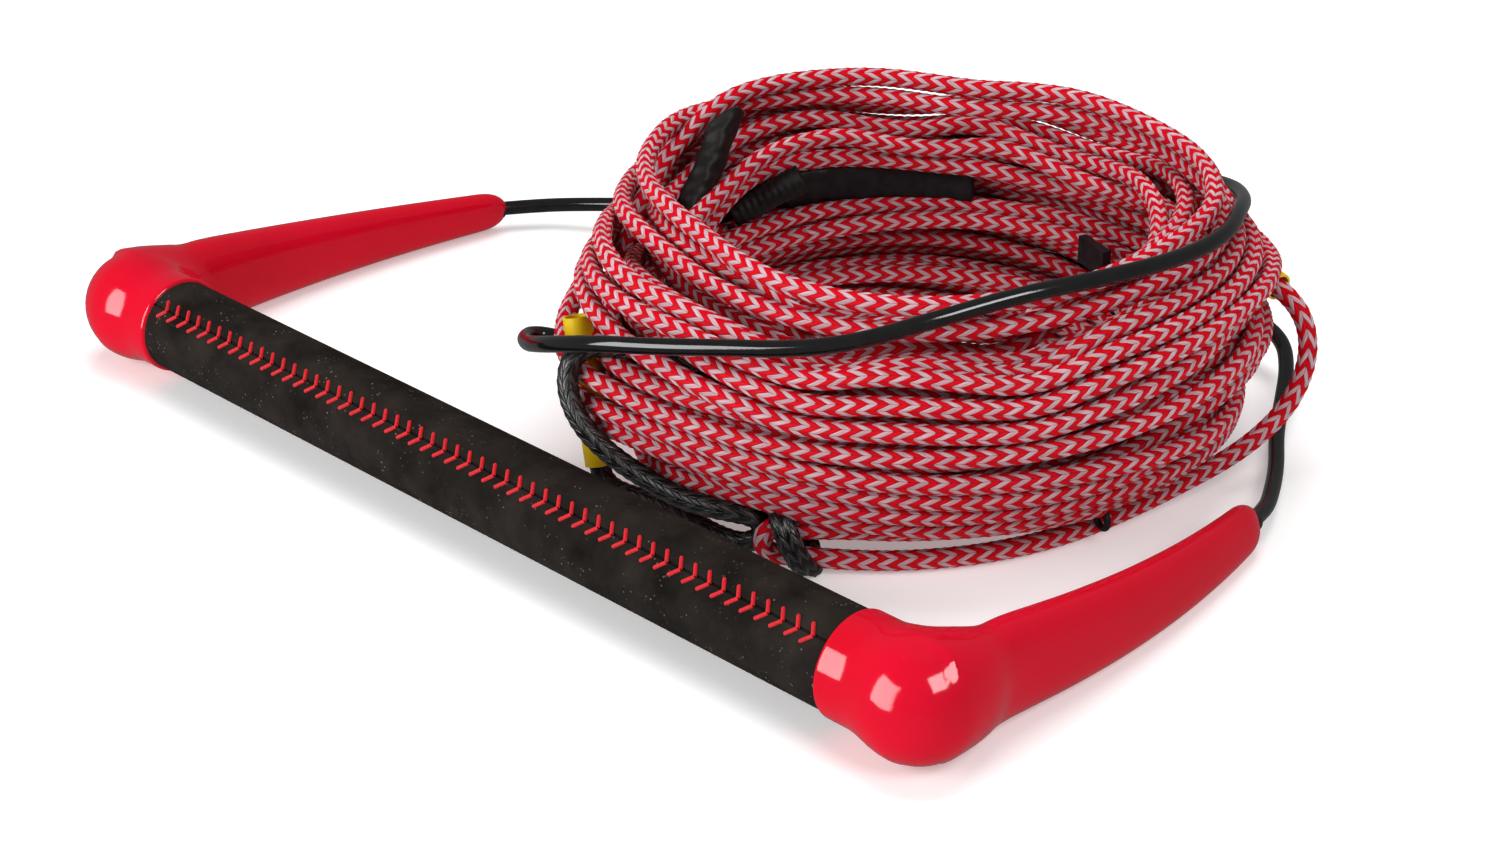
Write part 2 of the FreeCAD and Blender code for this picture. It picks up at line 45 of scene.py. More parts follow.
ROPE = 6.2
LEAD = 6.6
LINE = 5.0
WRAP = 4.9
COIL = np.array([45.0, 138.0])
TIP = (167.4, 153.5, 7.6)


# ---------------------------------------------------------------- small tools
def smooth_step(x):
    x = np.clip(x, 0.0, 1.0)
    return x * x * (3 - 2 * x)


def unit(v):
    v = np.asarray(v, float)
    return v / np.linalg.norm(v, axis=-1, keepdims=True)


def stand_in(piece, node):
    """Puts a piece on the fixed body in place of a CAD node, and hides the node."""
    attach(piece, "root")
    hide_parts(node)


def mesh_piece(name, verts, faces, material, uv=None):
    """A smooth mesh object from millimetre points; an array of faces holds quads only."""
    mesh = bpy.data.meshes.new(name)
    verts = np.asarray(verts, float) * MM
    if isinstance(faces, np.ndarray):
        count = len(faces)
        mesh.vertices.add(len(verts))
        mesh.vertices.foreach_set("co", verts.ravel())
        mesh.loops.add(4 * count)
        mesh.loops.foreach_set("vertex_index", faces.ravel().astype(np.int32))
        mesh.polygons.add(count)
        mesh.polygons.foreach_set("loop_start", np.arange(0, 4 * count, 4, dtype=np.int32))
        mesh.update(calc_edges=True)
    else:
        mesh.from_pydata([tuple(v) for v in verts], [], [tuple(int(i) for i in f) for f in faces])
        mesh.update()
    mesh.materials.append(material)
    mesh.polygons.foreach_set("use_smooth", np.full(len(mesh.polygons), True))
    if uv is not None:
        layer = mesh.uv_layers.new(name="OFBake")
        layer.data.foreach_set("uv", np.asarray(uv, np.float32).ravel())
    mesh.validate()
    obj = bpy.data.objects.new(name, mesh)
    bpy.context.scene.collection.objects.link(obj)
    return obj


def frames_along(points):
    """Unit tangents and two normals that turn as little as possible along a line."""
    p = np.asarray(points, float)
    tangent = unit(np.gradient(p, axis=0))
    first = np.cross(tangent[0], [0, 0, 1.0])
    if np.linalg.norm(first) < 0.1:
        first = np.cross(tangent[0], [1.0, 0, 0])
    normal = np.empty_like(p)
    normal[0] = unit(first)
    for i in range(1, len(p)):
        n = normal[i - 1] - tangent[i] * float(normal[i - 1] @ tangent[i])
        normal[i] = n / math.sqrt(float(n @ n))
    return tangent, normal, np.cross(tangent, normal)


def resample(points, step):
    """Points a whole number of equal steps apart along a line, near the step asked for."""
    p = np.asarray(points, float)
    along = np.concatenate([[0], np.cumsum(np.linalg.norm(np.diff(p, axis=0), axis=1))])
    count = max(int(round(along[-1] / step)), 2)
    at = np.linspace(0, along[-1], count + 1)
    return np.stack([np.interp(at, along, p[:, k]) for k in range(3)], axis=1)


def nurbs(name, points, bevel=0.0, material=None, resolution=8):
    """A cord's line: a quadratic spline that starts and ends on its end points."""
    curve = bpy.data.curves.new(name, "CURVE")
    curve.dimensions = "3D"
    spline = curve.splines.new("NURBS")
    spline.points.add(len(points) - 1)
    for point, place in zip(spline.points, points):
        point.co = (place[0] * MM, place[1] * MM, place[2] * MM, 1.0)
    spline.order_u = 3
    spline.use_endpoint_u = True
    curve.resolution_u = resolution
    spline.resolution_u = resolution
    curve.bevel_depth = bevel * MM
    curve.bevel_resolution = 8
    curve.use_fill_caps = True
    obj = bpy.data.objects.new(name, curve)
    if material is not None:
        curve.materials.append(material)
    return obj


def spline_points(points, resolution=8):
    """The points of a cord's spline in millimetres."""
    obj = nurbs("line", points, resolution=resolution)
    mesh = bpy.data.meshes.new_from_object(obj)
    read = np.empty(len(mesh.vertices) * 3)
    mesh.vertices.foreach_get("co", read)
    bpy.data.meshes.remove(mesh)
    bpy.data.objects.remove(obj)
    return read.reshape(-1, 3) / MM


def grid_faces(rows, sides):
    """Quads between the closed rings of a grid; every ring has the same number of sides."""
    r = np.arange(rows - 1)[:, None]
    s = np.arange(sides)[None, :]
    n = (s + 1) % sides
    quads = np.stack([r * sides + s, r * sides + n, (r + 1) * sides + n, (r + 1) * sides + s], axis=-1)
    return quads.reshape(-1, 4)


def soft_tube(name, points, half, material, creases=(), cut=0.0, lip=0.7):
    """A soft hose or strap round a line, open at both ends.

    half is its half thickness and half width, creases are (depth, radians a millimetre along,
    waves round, phase), cut slants its last end, and lip is the share of the bore.
    """
    step = 0.8
    cut_reach = 14.0
    p = resample(points, step)
    tangent, normal, binormal = frames_along(p)
    sides = 48
    turn = np.arange(sides) * 2 * math.pi / sides
    square = 2.0 if half[0] == half[1] else 2.8
    c, d = np.cos(turn), np.sin(turn)
    c, d = np.sign(c) * np.abs(c) ** (2 / square), np.sign(d) * np.abs(d) ** (2 / square)
    along = np.arange(len(p)) * step
    swell = np.zeros((len(p), sides))
    for depth, waves, around, phase in creases:
        swell += depth * np.sin(along[:, None] * waves + turn[None, :] * around + phase)
    ring = normal[:, None] * (c * half[0])[None, :, None] + binormal[:, None] * (d * half[1])[None, :, None]
    way = unit(ring)
    slant = smooth_step((along - along[-1] + cut_reach) / cut_reach)[:, None] * cut * c[None, :]
    skin = p[:, None] + ring + way * swell[..., None] + tangent[:, None] * slant[..., None]
    rows = []
    for end, sign in ((0, -1.0), (-1, 1.0)):
        middle = skin[end].mean(axis=0)
        shape = skin[end] - middle
        for share, out in ((0.96, 0.35), (lip + 0.08, 0.3), (lip, -0.6), (lip - 0.03, -7.0)):
            rows.append(middle + shape * share + tangent[end] * sign * out)
    grid = np.stack([*rows[3::-1], *skin, *rows[4:]])
    faces = [tuple(f) for f in grid_faces(len(grid), sides)]
    last = (len(grid) - 1) * sides
    faces.append(tuple(range(sides))[::-1])
    faces.append(tuple(range(last, last + sides)))
    return mesh_piece(name, grid.reshape(-1, 3), faces, material)


# ---------------------------------------------------------------- materials
def surface(name, color, roughness, metallic=0.0):
    """A procedural material; returns it with its node tree, shader and a texture place."""
    material = bpy.data.materials.new(name)
    material.use_nodes = True
    tree = material.node_tree
    shader = tree.nodes["Principled BSDF"]
    shader.inputs["Base Color"].default_value = (*color, 1.0)
    shader.inputs["Roughness"].default_value = roughness
    shader.inputs["Metallic"].default_value = metallic
    place = tree.nodes.new("ShaderNodeTexCoord").outputs["Object"]
    return material, tree, shader, place


def noise(tree, place, scale, detail=3.0, roughness=0.55):
    """A noise texture's value, from 0 to 1."""
    node = tree.nodes.new("ShaderNodeTexNoise")
    node.inputs["Scale"].default_value = scale
    node.inputs["Detail"].default_value = detail
    node.inputs["Roughness"].default_value = roughness
    tree.links.new(place, node.inputs["Vector"])
    return node.outputs["Fac"]


def ramp(tree, value, stops):
    """A colour ramp's output; stops are (place, colour) pairs."""
    node = tree.nodes.new("ShaderNodeValToRGB")
    elements = node.color_ramp.elements
    while len(elements) < len(stops):
        elements.new(0.5)
    for element, (place, color) in zip(elements, stops):
        element.position = place
        element.color = (*color, 1.0)
    tree.links.new(value, node.inputs["Fac"])
    return node.outputs["Color"]


def bump(tree, shader, height, distance, strength=1.0):
    """Relief on a shader's surface; distance is in metres."""
    node = tree.nodes.new("ShaderNodeBump")
    node.inputs["Strength"].default_value = strength
    node.inputs["Distance"].default_value = distance
    tree.links.new(height, node.inputs["Height"])
    tree.links.new(node.outputs["Normal"], shader.inputs["Normal"])


def calculate(tree, operation, *values):
    """A Math node's output; values are sockets or numbers."""
    node = tree.nodes.new("ShaderNodeMath")
    node.operation = operation
    for socket, value in zip(node.inputs, values):
        if isinstance(value, (int, float)):
            socket.default_value = value
        else:
            tree.links.new(value, socket)
    return node.outputs[0]


def mix_colors(tree, share, a, b, kind="MIX"):
    """A Mix node's colour; share, a and b are sockets, numbers or colours."""
    node = tree.nodes.new("ShaderNodeMix")
    node.data_type = "RGBA"
    node.blend_type = kind
    for socket, value in ((node.inputs["Factor"], share), (node.inputs[6], a), (node.inputs[7], b)):
        if isinstance(value, (int, float)):
            socket.default_value = value
        elif isinstance(value, tuple):
            socket.default_value = (*value, 1.0)
        else:
            tree.links.new(value, socket)
    return node.outputs[2]


def speckled(name, dark, light, roughness, scale, distance, metallic=0.0, detail=4.0, sheen=0.0,
             specular=0.5):
    """Colour and bump from fine noise between two tones."""
    material, tree, shader, place = surface(name, dark, roughness, metallic)
    shader.inputs["Specular IOR Level"].default_value = specular
    fac = noise(tree, place, scale, detail)
    tree.links.new(ramp(tree, fac, ((0.3, dark), (0.7, light))), shader.inputs["Base Color"])
    bump(tree, shader, fac, distance)
    if sheen:
        shader.inputs["Sheen Weight"].default_value = sheen
        shader.inputs["Sheen Roughness"].default_value = 0.4
    return material


def glossy_red():
    """Smooth moulded plastic, a little uneven in tone."""
    material, tree, shader, place = surface("arm_red", (0.60, 0.0, 0.014), 0.10)
    broad = noise(tree, place, 18.0, 2.0)
    tree.links.new(ramp(tree, broad, ((0.3, (0.55, 0.0, 0.016)), (0.7, (0.61, 0.0, 0.024)))),
                   shader.inputs["Base Color"])
    fine = noise(tree, place, 900.0, 2.0)
    bump(tree, shader, fine, 0.00002, 0.35)
    shader.inputs["Specular IOR Level"].default_value = 0.8
    return material


def suede():
    """Dark brushed hide with soft patches and scattered lint."""
    material, tree, shader, place = surface("grip_suede", (0.02, 0.018, 0.017), 0.92)
    shader.inputs["Specular IOR Level"].default_value = 0.1
    pile = noise(tree, place, 2600.0, 4.0, 0.7)
    patches = noise(tree, place, 60.0, 4.0, 0.6)
    mottled = ramp(tree, patches, ((0.3, (0.012, 0.0098, 0.0085)), (0.78, (0.040, 0.033, 0.028))))
    lint = tree.nodes.new("ShaderNodeTexVoronoi")
    lint.inputs["Scale"].default_value = 620.0
    tree.links.new(place, lint.inputs["Vector"])
    size = noise(tree, place, 150.0, 1.0)
    speck = ramp(tree, lint.outputs["Distance"], ((0.10, (1.0, 1.0, 1.0)), (0.22, (0.0, 0.0, 0.0))))
    chosen = ramp(tree, size, ((0.52, (0.0, 0.0, 0.0)), (0.70, (1.0, 1.0, 1.0))))
    linted = mix_colors(tree, calculate(tree, "MULTIPLY", speck, chosen), mottled, (0.20, 0.18, 0.165))
    tree.links.new(linted, shader.inputs["Base Color"])
    bump(tree, shader, pile, 0.00016, 0.9)
    return material


def braided(name, first, second, gap, roughness, specular):
    """Floats of two yarns, drawn in the mesh's own map: 8 columns across, 16 rows along.

    first and second are each yarn's (dark, light) pair; gap is painted shade, the dark colour laid at the
    floats' edges and between floats, where shadow falls.
    """
    material, tree, shader, _ = surface(name, first[1], roughness)
    shader.inputs["Specular IOR Level"].default_value = specular
    own = tree.nodes.new("ShaderNodeUVMap")
    own.uv_map = "OFBake"
    split = tree.nodes.new("ShaderNodeSeparateXYZ")
    tree.links.new(own.outputs["UV"], split.inputs[0])
    columns, rows = 8.0, 16.0
    fill = 1.94
    across = calculate(tree, "MULTIPLY", split.outputs["X"], columns)
    column = calculate(tree, "FLOOR", across)
    inside = calculate(tree, "SUBTRACT", calculate(tree, "FRACT", across), 0.5)
    odd = calculate(tree, "MODULO", column, 2.0)
    lean = calculate(tree, "SUBTRACT", calculate(tree, "MULTIPLY", odd, 2.0), 1.0)
    hook = calculate(tree, "MULTIPLY", calculate(tree, "MULTIPLY", inside, lean), 0.5)
    along = calculate(tree, "ADD", calculate(tree, "MULTIPLY", split.outputs["Y"], rows), hook)
    along = calculate(tree, "ADD", along, rows)
    row = calculate(tree, "FLOOR", along)
    second_yarn = calculate(tree, "MODULO", row, 2.0)
    up = calculate(tree, "SUBTRACT", calculate(tree, "FRACT", along), 0.5)
    wide = calculate(tree, "ABSOLUTE", calculate(tree, "MULTIPLY", inside, fill))
    tall = calculate(tree, "ABSOLUTE", calculate(tree, "MULTIPLY", up, fill))
    wide = calculate(tree, "POWER", wide, 7.0)
    tall = calculate(tree, "POWER", tall, 5.0)
    edge = calculate(tree, "ADD", wide, tall)
    strands = tree.nodes.new("ShaderNodeCombineXYZ")
    tree.links.new(calculate(tree, "MULTIPLY", across, 0.45), strands.inputs["X"])
    tree.links.new(calculate(tree, "MULTIPLY", along, 8.0), strands.inputs["Y"])
    tree.links.new(calculate(tree, "MULTIPLY", column, 3.7), strands.inputs["Z"])
    filament = noise(tree, strands.outputs[0], 1.0, 2.0, 0.6)
    yarn_a = ramp(tree, filament, ((0.32, first[0]), (0.62, first[1])))
    yarn_b = ramp(tree, filament, ((0.32, second[0]), (0.62, second[1])))
    yarn = mix_colors(tree, second_yarn, yarn_a, yarn_b)
    cell = tree.nodes.new("ShaderNodeCombineXYZ")
    tree.links.new(column, cell.inputs["X"])
    tree.links.new(row, cell.inputs["Y"])
    chance = tree.nodes.new("ShaderNodeTexWhiteNoise")
    chance.noise_dimensions = "2D"
    tree.links.new(cell.outputs[0], chance.inputs["Vector"])
    tone = ramp(tree, chance.outputs["Value"], ((0.0, (0.86, 0.86, 0.86)), (1.0, (1.0, 1.0, 1.0))))
    yarn = mix_colors(tree, 1.0, yarn, tone, "MULTIPLY")
    # Painted shade: towards each float's edges the yarn's colour turns to the gap colour, as if shadow lay
    # between the floats.
    shade = ramp(tree, edge, ((0.40, (0.0, 0.0, 0.0)), (1.0, (1.0, 1.0, 1.0))))
    tree.links.new(mix_colors(tree, shade, yarn, gap), shader.inputs["Base Color"])
    height = calculate(tree, "SUBTRACT", calculate(tree, "MULTIPLY", filament, 0.35), edge)
    bump(tree, shader, calculate(tree, "MAXIMUM", height, -1.2), 0.00022, 0.8)
    return material


def coated_black():
    """The shiny coating of the bridle line."""
    material, tree, shader, place = surface("line_black", (0.004, 0.004, 0.0045), 0.11)
    fac = noise(tree, place, 260.0, 3.0)
    bump(tree, shader, fac, 0.0001, 0.35)
    tree.links.new(ramp(tree, fac, ((0.3, (0.005, 0.005, 0.0055)), (0.7, (0.009, 0.009, 0.010)))),
                   shader.inputs["Base Color"])
    shader.inputs["Specular IOR Level"].default_value = 1.0
    return material


RED = glossy_red()
SUEDE = suede()
THREAD = speckled("red_thread", (0.42, 0.006, 0.012), (0.66, 0.02, 0.03), 0.7, 2600.0, 0.00008,
                  sheen=0.1)
# Each braid's last colour is painted shade, laid between the floats.
ROPE_YARN = braided("rope_yarn", ((0.48, 0.0, 0.010), (0.76, 0.001, 0.016)),
                    ((0.46, 0.26, 0.29), (0.68, 0.50, 0.53)), (0.26, 0.02, 0.035), 0.6, 0.2)
# The lead's second yarn runs from black to a light grey. These light filaments are painted glints,
# highlights painted on the black floats.
LEAD_YARN = braided("lead_yarn", ((0.003, 0.003, 0.003), (0.014, 0.014, 0.014)),
                    ((0.003, 0.003, 0.003), (0.085, 0.085, 0.082)), (0.0005, 0.0005, 0.0005), 0.26, 0.8)
LINE_BLACK = coated_black()
YELLOW = speckled("tag_yellow", (0.78, 0.52, 0.004), (0.86, 0.60, 0.008), 0.42, 120.0, 0.00008)
FOAM = speckled("sleeve_black", (0.010, 0.0095, 0.009), (0.020, 0.019, 0.018), 0.5, 500.0, 0.0002,
                specular=0.4)
STRAP = speckled("strap_black", (0.010, 0.010, 0.011), (0.022, 0.022, 0.024), 0.45, 260.0, 0.0003,
                 specular=0.4)
METAL = speckled("bar_metal", (0.55, 0.56, 0.57), (0.66, 0.67, 0.68), 0.3, 500.0, 0.00002, metallic=1.0)
CORE = speckled("core_foam", (0.02, 0.02, 0.02), (0.04, 0.04, 0.04), 0.9, 1500.0, 0.0001)
PLASTIC = speckled("plug_plastic", (0.02, 0.02, 0.02), (0.03, 0.03, 0.03), 0.5, 900.0, 0.00003)


# ---------------------------------------------------------------- braid
BRAID_SIDES = 16
MAP_RINGS = 32.0


def braid_rings(points, diameter):
    """Places of a braid's rings along a line: four to a period, which is 0.93 of a diameter."""
    return resample(points, diameter * 0.232)


def braid(name, rings, diameter, yarn, first=0, last=None):
    """A round braid's skin of eight columns, with a valley between columns.

    Each ring zigzags round the rope, so that the yarns lie in Vs, and every other ring is thinner.
    """
    slant, ridge, valley, waist = 0.41, 0.508, 0.455, 0.935
    tangent, normal, binormal = frames_along(rings)
    last = len(rings) - 1 if last is None else last
    chosen = slice(first, last + 1)
    sides = BRAID_SIDES
    turn = np.arange(sides) * 2 * math.pi / sides
    place = np.arange(sides) % 4
    shift = np.array([-0.5, 0.0, 0.5, 0.0])[place] * slant * diameter
    low_side = (np.arange(sides) % 2 == 0)
    number = np.arange(first, last + 1)
    across = np.where(low_side, valley, ridge)
    radius = across[None, :] * np.where(number % 2 == 0, waist, 1.0)[:, None] * diameter
    ring = (np.cos(turn)[None, :, None] * normal[chosen][:, None]
            + np.sin(turn)[None, :, None] * binormal[chosen][:, None])
    verts = rings[chosen][:, None] + ring * radius[..., None]
    verts = verts + tangent[chosen][:, None] * shift[None, :, None]
    count = last - first + 1
    quads = grid_faces(count, sides)
    row = np.repeat(number[:-1], sides)
    side = np.tile(np.arange(sides), count - 1)
    low = (row % MAP_RINGS) / MAP_RINGS
    left = side / sides
    step, width = 1 / MAP_RINGS, 1 / sides
    uv = np.stack([np.stack([left, low], 1), np.stack([left + width, low], 1),
                   np.stack([left + width, low + step], 1), np.stack([left, low + step], 1)], axis=1)
    verts = verts.reshape(-1, 3)
    # The two ends are closed with a fan.
    middle = np.stack([rings[first], rings[last]])
    ends = []
    for which, base in ((0, 0), (1, (count - 1) * sides)):
        for s in range(0, sides, 2):
            a, b, c = base + s, base + (s + 1) % sides, base + (s + 2) % sides
            ends.append((len(verts) + which, c, b, a) if which == 0 else (len(verts) + which, a, b, c))
    quads = np.concatenate([quads, np.array(ends)])
    uv = np.concatenate([uv.reshape(-1, 2), np.tile([[0.01, 0.01]], (4 * len(ends), 1))])
    return mesh_piece(name, np.concatenate([verts, middle]), quads, yarn, uv=uv)


# ---------------------------------------------------------------- routes, in millimetres
BRIDLE_ROUTE = [
    (-TIP[0], TIP[1], TIP[2]), (-160, 165, 7.6), (-148, 175, 8.6), (-126, 188, 11),
    (-98, 201, 14), (-68, 216, 20), (-38, 231, 28), (-8, 244, 38), (26, 254, 48),
    (62, 252, 58), (93, 237, 68), (115, 213, 77), (127, 193, 82.5), (137.5, 173, 84.5),
    (141, 148, 86), (137, 118, 88), (127, 92, 88), (115, 68, 84), (102, 51, 78.5),
    (86.5, 40, 75), (68, 31, 72.5), (50, 23, 69.5), (31, 17.5, 66), (13, 18, 59.5),
    (-1, 23.5, 53), (-10.5, 29, 48.2), (-17, 33.5, 45.5), (-21.3, 37.2, 43.8), (-23.3, 41, 43),
    (-21.6, 45, 42), (-17, 48, 41.2), (-9, 51.5, 40.8), (5, 52.8, 41), (24, 49.5, 41.5),
    (50, 44.5, 41.5), (78, 50, 40), (104, 65, 38), (124, 87, 36), (136, 114, 34),
    (139, 143, 32), (134, 171, 30), (120, 197, 29), (98, 217, 28), (71, 230, 27),
    (42, 233, 26.5), (12, 228, 26), (-14, 213, 25.5), (-34, 191, 25.5), (-46, 164, 25),
    (-49, 135, 24.5), (-43, 106, 24.5), (-29, 80, 24), (-7, 61, 24), (19, 49, 25),
    (48, 46, 26), (76, 52, 26.5), (102, 66, 26.5), (121, 88, 26), (134, 113, 25),
    (139, 141, 22), (136, 168, 19), (126, 192, 17), (112, 209, 16.5), (98, 221, 16.5),
    (86.5, 234, 17), (85, 247.5, 16.5), (96, 255, 15.5), (109, 250.5, 13.5), (118.5, 239.5, 10.5),
    (126.5, 226, 7.2), (136.5, 209, 4.8), (149, 192, 4), (159, 175, 4.6),
    (164.5, 164, 5.8), TIP,
]
EYE_ROUTE = [
    (139, 118, 15.5), (133, 102, 15), (121, 84, 14.6), (107, 67, 14.6), (96, 57.6, 14.8),
    (87.5, 50.8, 14.2), (81.4, 46.2, 13.9), (77.2, 43.3, 13.8), (75.2, 41.7, 11.3),
    (75.2, 41.7, 7.7), (77.2, 43.3, 5.1), (81.2, 46.1, 5), (87, 50.6, 4.8), (95.5, 58, 4.2),
    (106.5, 69.5, 3.7), (119, 87, 3.6),
    (129, 110, 3.8), (134, 136, 4.6), (138, 160, 7), (143, 180, 11.5), (146.8, 194.5, 19.5),
    (148.4, 202, 29), (147.4, 206.5, 39), (142.8, 208.6, 48), (134.4, 208.8, 53.6),
    (119.5, 211.6, 56.6), (106, 219.5, 57.5), (91, 228, 56.5), (74, 233.5, 53.5), (54, 233.5, 50),
]
LEAD_ROUTE = [
    (38, 55, 48), (28, 48, 50), (19.4, 41.5, 52), (12.2, 35.6, 53), (8.2, 30.6, 50.8),
    (7.9, 27.3, 44), (11.6, 25.6, 36.5), (17.6, 26.2, 29.5), (25.5, 28.9, 23.3), (35.5, 31.9, 19),
    (47.5, 33.8, 16.5), (57.5, 36.4, 15.9), (64.5, 39.8, 15.6), (69.4, 43.6, 14.6), (71.6, 46.2, 11.2),
    (70.9, 45.5, 7.4), (67.6, 43.5, 4.9), (62.5, 42.2, 3.9), (54.5, 41.6, 3.7), (46, 42.2, 3.8),
    (38, 42.7, 3.9), (31, 42.4, 3.8), (24.5, 41.6, 3.9), (18.5, 40.3, 3.8), (13.2, 39.3, 4.4),
    (8.8, 39.5, 6.7), (6.8, 40.2, 12.9), (5.1, 40.7, 19),
]
SLEEVE_RADIUS = 4.6
UPPER_SLEEVE = ((-33.1, 135.5, 83.8), (-26.8, 104.8, 47.8))
INNER_SLEEVE = ((-34.6, 140, 49.2), (-20.6, 157.5, 60.6))
KEEPER_RADIUS = 80
KEEPER_HEIGHT = 52.0
KEEPER_LINE = np.array([(COIL[0] + KEEPER_RADIUS * math.cos(math.radians(a)),
                         COIL[1] + KEEPER_RADIUS * math.sin(math.radians(a)), KEEPER_HEIGHT)
                        for a in np.linspace(117, 172, 12)])
TAG_FOOT = np.array([7.8, 39.8, 10.0])
TAG_ALONG = unit([-3.1, 1.0, 10.4])
TAG_LENGTH = 46
TAG_RADIUS = 4.4


# ---------------------------------------------------------------- the coil
WALL_HEIGHTS = (0, 6, 12, 20, 30, 45, 65, 80, 90)
WALL_RADII = (81, 87, 96, 103, 109, 113, 107, 98, 90)
COIL_SEED = 11
HOLLOW = 73.0
HOLLOW_UNDERCUT = 12.0
WALL_UNDERCUT = 13.0
# Each: its middle in degrees round the coil, its width in radians, and how deep it is.
RIM_DROPS = ((-64, 0.22, 11.0), (-31, 0.2, 11.0), (-158, 0.35, 11.0), (90, 0.35, 8.0), (133, 0.2, 8.0))


def angle_from(turn, degrees):
    """Angle from a direction round the coil, between minus and plus half a turn, in radians."""
    return np.angle(np.exp(1j * (turn - math.radians(degrees))))


def wall_outside(z, turn):
    """Outer radius of the coil's wall; it bulges at half height and on its loose right side."""
    radius = np.interp(z, WALL_HEIGHTS, WALL_RADII)
    bulge = 9.0 * np.exp(-(angle_from(turn, 35) / 0.5) ** 2) * np.exp(-((z - 45) / 24) ** 2)
    radius = radius - 8.5 * np.exp(-(angle_from(turn, -147) / 0.36) ** 2)
    radius = radius + 5.0 * np.exp(-(angle_from(turn, -112) / 0.2) ** 2) * np.exp(-((z - 33) / 20) ** 2)
    return radius + bulge - WALL_UNDERCUT * undercut(z, turn)


def undercut(z, turn):
    """Share, up to 1, by which the wall's foot stands back at the front, where the eye lies."""
    return np.exp(-(angle_from(turn, -42) / 0.62) ** 4) * np.exp(-(z / 11.0) ** 4)


def rim_drop(turn):
    """How far the wall's top stands below the loose turns: at the front, the left and the back."""
    drop = np.zeros_like(turn)
    for middle, width, depth in RIM_DROPS:
        drop = drop + depth * np.exp(-(angle_from(turn, middle) / width) ** 2)
    return drop


# The two top turns lie on the rim and bend in over the hollow or out over the wall. Each
# bend has its middle and width in degrees round the coil, and how far out it moves the turn.
TOP_BENDS = (
    ((-105, 34, -12), (42, 24, 13), (118, 16, -10), (185, 30, 13)),
    ((-105, 34, -10), (30, 26, 9), (120, 20, -14), (195, 30, 14)),
)
TOP_RADIUS = (86.0, 88.0)
TOP_HEIGHT = (84.0, 78.0)
TOP_SLOPE = (2.0, 3.5)


def top_turn(number, turn):
    """Radius and height of a top turn at each angle."""
    radius = np.full(len(turn), TOP_RADIUS[number])
    for middle, width, outward in TOP_BENDS[number]:
        away = np.degrees(angle_from(turn, middle))
        radius = radius + outward * np.exp(-(away / width) ** 2)
    return radius, TOP_HEIGHT[number] + TOP_SLOPE[number] * np.cos(turn - math.radians(95))


def turn_plans(rng):
    """Height, layer and waviness of each turn, level by level; layer 0 is the outside."""
    plans = []
    levels = 14
    lowest, rise = 3.3, 5.3
    for level in range(levels):
        z = lowest + rise * level
        layers = [1, 0]
        if level % 4 != 3:
            layers.append(2)
        if level >= 12:
            layers = [0, 2]
        if level % 2:
            layers = layers[::-1]
        for layer in layers:
            plans.append({
                "z": z + rng.normal(0, 1.0), "layer": layer, "top": None,
                "shift": rng.normal(0, 2.0 + 1.5 * layer, 2), "tilt": rng.uniform(0, 3.0 + 2.5 * layer),
                "way": rng.uniform(0, 2 * math.pi),
                "waves": [(k, rng.normal(0, 1.3 / k), rng.normal(0, 1.9 / k), rng.uniform(0, 6.28))
                          for k in (2, 3, 4)],
            })
    plain = {"shift": (0.0, 0.0), "tilt": 0.0, "way": 0.0, "waves": []}
    plans.append({"z": 80.0, "layer": 0, "top": 1, **plain})
    plans.append({"z": 80.0, "layer": 0, "top": 0, **plain})
    plans.append({"z": 44.0, "layer": 1, "top": None, **plain})
    return plans


def coil_home(rng):
    """Where the turns lie before they press on each other, and how firmly each point is held."""
    plans = turn_plans(rng)
    per_turn = 30
    start = 140
    count = len(plans)
    steps = np.array([k + (0.25 if rng.random() < 0.5 else 0.72) + rng.normal(0, 0.05)
                      for k in range(count - 1)])
    steps[-3:] = np.array([count - 3, count - 2, count - 1]) + 0.18
    widths = rng.uniform(0.10, 0.17, count - 1)
    t = np.arange(int((count - 0.35) * per_turn)) / per_turn
    turn = 2 * math.pi * t + math.radians(start)
    common = [(k, rng.normal(0, 0.9 / k), rng.uniform(0, 6.28)) for k in (1, 2, 3)]
    shapes = []
    for plan in plans:
        layer = plan["layer"]
        z = plan["z"] + plan["tilt"] * np.cos(turn - plan["way"])
        inner = HOLLOW + 2.0 + layer - HOLLOW_UNDERCUT * undercut(z, turn)
        outside = wall_outside(z, turn) - 3.5
        share = {0: 0.0, 1: 0.42, 2: 0.92}[layer]
        radius = outside * (1 - share) + inner * share
        for k, a, b, phase in plan["waves"]:
            radius = radius + a * np.cos(k * turn + phase)
            z = z + b * np.cos(k * turn + phase * 1.7)
        for k, a, phase in common:
            z = z + a * np.cos(k * turn + phase) * (plan["z"] / 80)
        z = z - rim_drop(turn) * smooth_step((plan["z"] - 50.0) / 20.0)
        if plan["top"] is not None:
            radius, z = top_turn(plan["top"], turn)
        x = COIL[0] + plan["shift"][0] + radius * np.cos(turn)
        y = COIL[1] + plan["shift"][1] + radius * np.sin(turn)
        shapes.append(np.stack([x, y, z], axis=1))
    line = shapes[0].copy()
    hold = np.full(len(t), 1.0)
    for step, width, shape in zip(steps, widths, shapes[1:]):
        share = smooth_step((t - step + width) / (2 * width))[:, None]
        line = line * (1 - share) + shape * share
    # The two top turns are held more firmly than the others.
    hold[(t > steps[-3]) & (t < steps[-1])] = 6.0
    return line, hold


def capsule_line(points, radius):
    """A line's segments, as starts, ends and radii."""
    p = np.asarray(points, float)
    return p[:-1], p[1:], np.full(len(p) - 1, radius)


